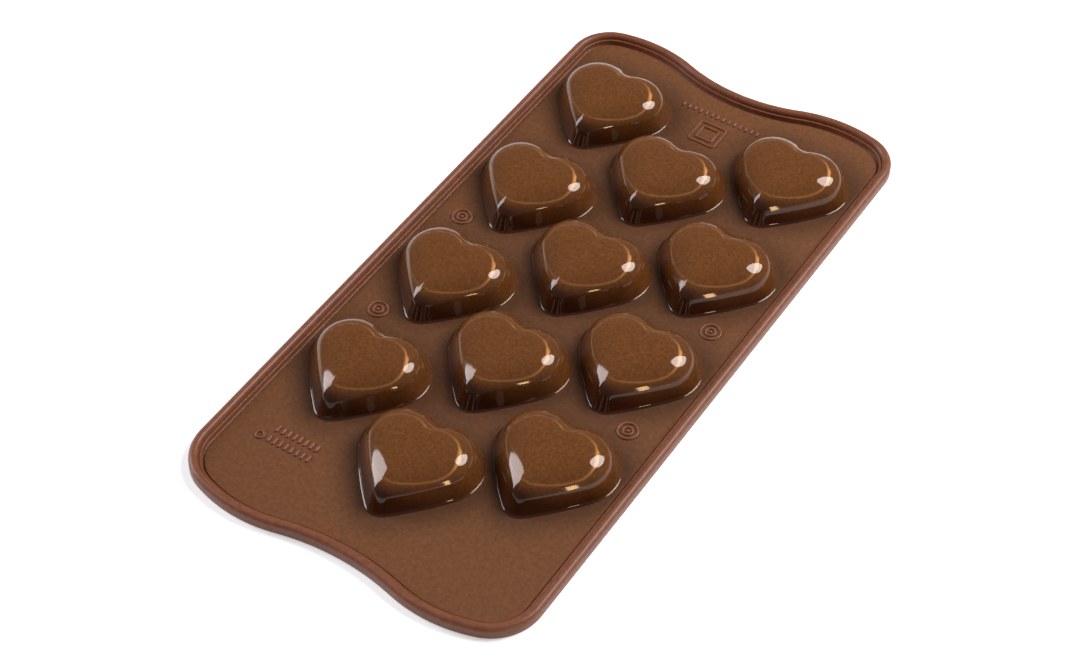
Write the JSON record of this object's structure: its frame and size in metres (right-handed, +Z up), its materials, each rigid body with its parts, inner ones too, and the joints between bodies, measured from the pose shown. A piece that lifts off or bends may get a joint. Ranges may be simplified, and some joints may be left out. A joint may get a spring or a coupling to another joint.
{
  "type": "chocolate mould",
  "caption": "Flexible one-piece chocolate mould lying face down: a thin sheet with wavy ends and a rounded rim, with rows of heart-shaped cups raised from it.",
  "frame": {"origin": "centre of the outline's bounding box, on the flat face that the mould lies on", "axes": "+X across the mould, +Y along its length away from the hearts' tips, +Z up through the cups, out of the flat face"},
  "size_m": [0.106, 0.214, 0.0103],
  "materials": {
    "silicone": "matte sheet and glossy cups, brown food silicone"
  },
  "bodies": {
    "root": {"mould": "silicone"}
  },
  "joints": []
}
